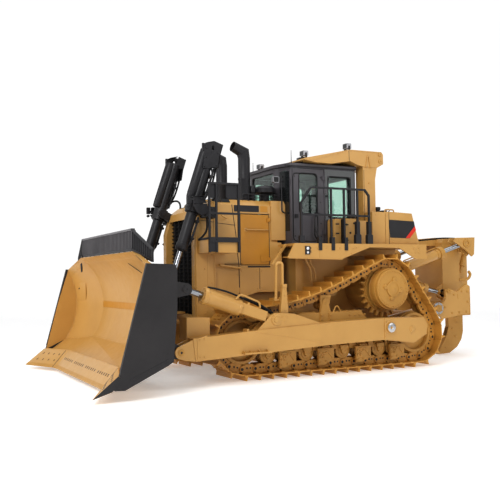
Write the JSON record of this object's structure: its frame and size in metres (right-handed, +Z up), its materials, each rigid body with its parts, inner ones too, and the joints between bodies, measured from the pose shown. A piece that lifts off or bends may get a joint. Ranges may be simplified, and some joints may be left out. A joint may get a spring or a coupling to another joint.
{
  "type": "crawler dozer",
  "caption": "Large high-drive crawler dozer with a U-shaped blade on push arms, enclosed cab with rollover frame, and a single-shank rear ripper.",
  "frame": {"origin": "on the ground under the middle of the overall length and width", "axes": "+X forward towards the blade, +Y the machine's left, +Z up"},
  "size_m": [9.294, 5.201, 4.41],
  "materials": {
    "yellow_paint": "semi-gloss",
    "black_paint": "satin",
    "cab_grey": "satin",
    "tinted_glass": "clear",
    "seat_fabric": "matte",
    "cab_plastic": "matte",
    "engine_paint": "matte",
    "chromed_rod": "polished",
    "lamp_metal": "satin"
  },
  "bodies": {
    "tractor": {"track_l": "yellow_paint", "track_r": "yellow_paint", "track_frames": "yellow_paint", "idlers": "yellow_paint", "track_rollers": "yellow_paint", "roller_guards": "yellow_paint", "final_drives": "yellow_paint", "sprockets": "yellow_paint", "trunnions": "yellow_paint", "main_frame": "yellow_paint", "pivot_shaft": "yellow_paint", "equalizer_bar": "yellow_paint", "engine_block": "engine_paint", "radiator_guard": "yellow_paint", "radiator_grille": "black_paint", "hood": "yellow_paint", "exhausts": "black_paint", "precleaners": "black_paint", "platform": "yellow_paint", "fuel_tank": "yellow_paint", "side_boxes": "yellow_paint", "rops": "yellow_paint", "cab_body": "cab_grey", "cab_roof": "cab_grey", "cab_glass": "tinted_glass", "seat": "seat_fabric", "cab_consoles": "cab_plastic", "step_box": "yellow_paint", "step_rails": "black_paint", "handrails": "black_paint", "work_lamps": "lamp_metal", "lift_yokes": "black_paint", "ripper_bracket": "yellow_paint"},
    "push_arms": {"push_arms": "yellow_paint"},
    "blade": {"moldboard": "yellow_paint", "wing_end_plates": "black_paint", "cutting_edge": "yellow_paint", "spill_guard": "black_paint", "blade_frame": "black_paint"},
    "tilt_barrels": {"tilt_barrels": "yellow_paint"},
    "tilt_rods": {"tilt_rods": "chromed_rod"},
    "lift_barrels": {"lift_barrels": "black_paint"},
    "lift_rods": {"lift_rods": "chromed_rod"},
    "ripper_arms": {"ripper_arms": "yellow_paint"},
    "ripper_pins": {"ripper_pins": "yellow_paint"},
    "pitch_pins": {"pitch_cylinder_pins": "yellow_paint"},
    "ripper_carriage": {"ripper_carriage": "yellow_paint", "ripper_shank": "yellow_paint"},
    "pitch_barrels": {"pitch_barrels": "yellow_paint"},
    "pitch_rods": {"pitch_rods": "chromed_rod"},
    "ripper_lift_barrels": {"ripper_lift_barrels": "yellow_paint"},
    "ripper_lift_rods": {"ripper_lift_rods": "chromed_rod"},
    "engine_door_l": {"engine_door_l": "yellow_paint"},
    "engine_door_r": {"engine_door_r": "yellow_paint"},
    "cab_door_l": {"cab_door_l": "cab_grey", "door_glass_l": "tinted_glass"},
    "cab_door_r": {"cab_door_r": "cab_grey", "door_glass_r": "tinted_glass"}
  },
  "joints": [
    {"name": "blade_lift", "type": "hinge", "parent": "tractor", "child": "push_arms", "pos_m": [-1.151, 0, 0.82], "axis": [0, -1, 0], "range_deg": [-7, 16]},
    {"name": "blade_pitch", "type": "hinge", "parent": "push_arms", "child": "blade", "pos_m": [3.002, 0, 0.585], "axis": [0, 1, 0], "range_deg": [-5, 5]},
    {"name": "tilt_barrel_swing", "type": "hinge", "parent": "push_arms", "child": "tilt_barrels", "pos_m": [1.246, 0, 1.049], "axis": [0, 1, 0], "range_deg": [-1.13, 1.13]},
    {"name": "tilt_rod_slide", "type": "slide", "parent": "tilt_barrels", "child": "tilt_rods", "axis": [0.9486, 0, 0.3166], "range_m": [-0.0919, 0.0919]},
    {"name": "lift_barrel_swing", "type": "hinge", "parent": "tractor", "child": "lift_barrels", "pos_m": [2.345, 0, 3.05], "axis": [0, 1, 0], "range_deg": [-9.47, 4.42]},
    {"name": "lift_rod_slide", "type": "slide", "parent": "lift_barrels", "child": "lift_rods", "axis": [0.3182, 0, -0.948], "range_m": [-1.1406, 0.5018]},
    {"name": "ripper_lift", "type": "hinge", "parent": "tractor", "child": "ripper_arms", "pos_m": [-1.598, 0, 0.74], "axis": [0, 1, 0], "range_deg": [-30, 26]},
    {"name": "ripper_level", "type": "hinge", "parent": "ripper_arms", "child": "ripper_pins", "pos_m": [-3.251, 0, 1.081], "axis": [0, 1, 0], "range_deg": [-22.37, 25.73]},
    {"name": "ripper_pitch", "type": "hinge", "parent": "ripper_pins", "child": "ripper_carriage", "pos_m": [-3.251, 0, 1.081], "axis": [0, 1, 0], "range_deg": [-12, 12]},
    {"name": "pitch_pin_swing", "type": "hinge", "parent": "tractor", "child": "pitch_pins", "pos_m": [-2.268, 0, 1.895], "axis": [0, 1, 0], "range_deg": [-30.09, 26.14]},
    {"name": "pitch_barrel_swing", "type": "hinge", "parent": "pitch_pins", "child": "pitch_barrels", "pos_m": [-2.268, 0, 1.895], "axis": [0, 1, 0], "range_deg": [-8.13, 8.13]},
    {"name": "pitch_rod_slide", "type": "slide", "parent": "pitch_barrels", "child": "pitch_rods", "axis": [-0.9521, 0, 0.3058], "range_m": [-0.23, 0.23]},
    {"name": "ripper_lift_barrel_swing", "type": "hinge", "parent": "tractor", "child": "ripper_lift_barrels", "pos_m": [-2.268, 0, 1.72], "axis": [0, 1, 0], "range_deg": [-33.5, 29.1]},
    {"name": "ripper_lift_rod_slide", "type": "slide", "parent": "ripper_lift_barrels", "child": "ripper_lift_rods", "axis": [-0.9721, 0, -0.2347], "range_m": [-0.3453, 0.3977]},
    {"name": "engine_door_l_hinge", "type": "hinge", "parent": "tractor", "child": "engine_door_l", "pos_m": [0.761, 0.776, 2.49], "axis": [0, 0, 1], "range_deg": [0, 100]},
    {"name": "cab_door_l_hinge", "type": "hinge", "parent": "tractor", "child": "cab_door_l", "pos_m": [-0.376, 0.938, 3.165], "axis": [0, 0, 1], "range_deg": [0, 44]},
    {"name": "engine_door_r_hinge", "type": "hinge", "parent": "tractor", "child": "engine_door_r", "pos_m": [0.761, -0.776, 2.49], "axis": [0, 0, -1], "range_deg": [0, 100]},
    {"name": "cab_door_r_hinge", "type": "hinge", "parent": "tractor", "child": "cab_door_r", "pos_m": [-0.376, -0.938, 3.165], "axis": [0, 0, -1], "range_deg": [0, 44]}
  ],
  "couplings": [
    {"joint": "tilt_barrel_swing", "follows": "blade_pitch", "ratio": 0.1267},
    {"joint": "tilt_rod_slide", "follows": "blade_pitch", "m_per_rad": 0.9955},
    {"joint": "lift_barrel_swing", "follows": "blade_lift", "ratio": -0.5604},
    {"joint": "lift_rod_slide", "follows": "blade_lift", "m_per_rad": -4.0665},
    {"joint": "ripper_level", "follows": "ripper_lift", "ratio": -0.841},
    {"joint": "pitch_pin_swing", "follows": "ripper_lift", "ratio": 0.9862},
    {"joint": "pitch_barrel_swing", "follows": "ripper_pitch", "ratio": 0.6361},
    {"joint": "pitch_rod_slide", "follows": "ripper_pitch", "m_per_rad": -1.0741},
    {"joint": "ripper_lift_barrel_swing", "follows": "ripper_lift", "ratio": 1.1},
    {"joint": "ripper_lift_rod_slide", "follows": "ripper_lift", "m_per_rad": -0.75}
  ]
}
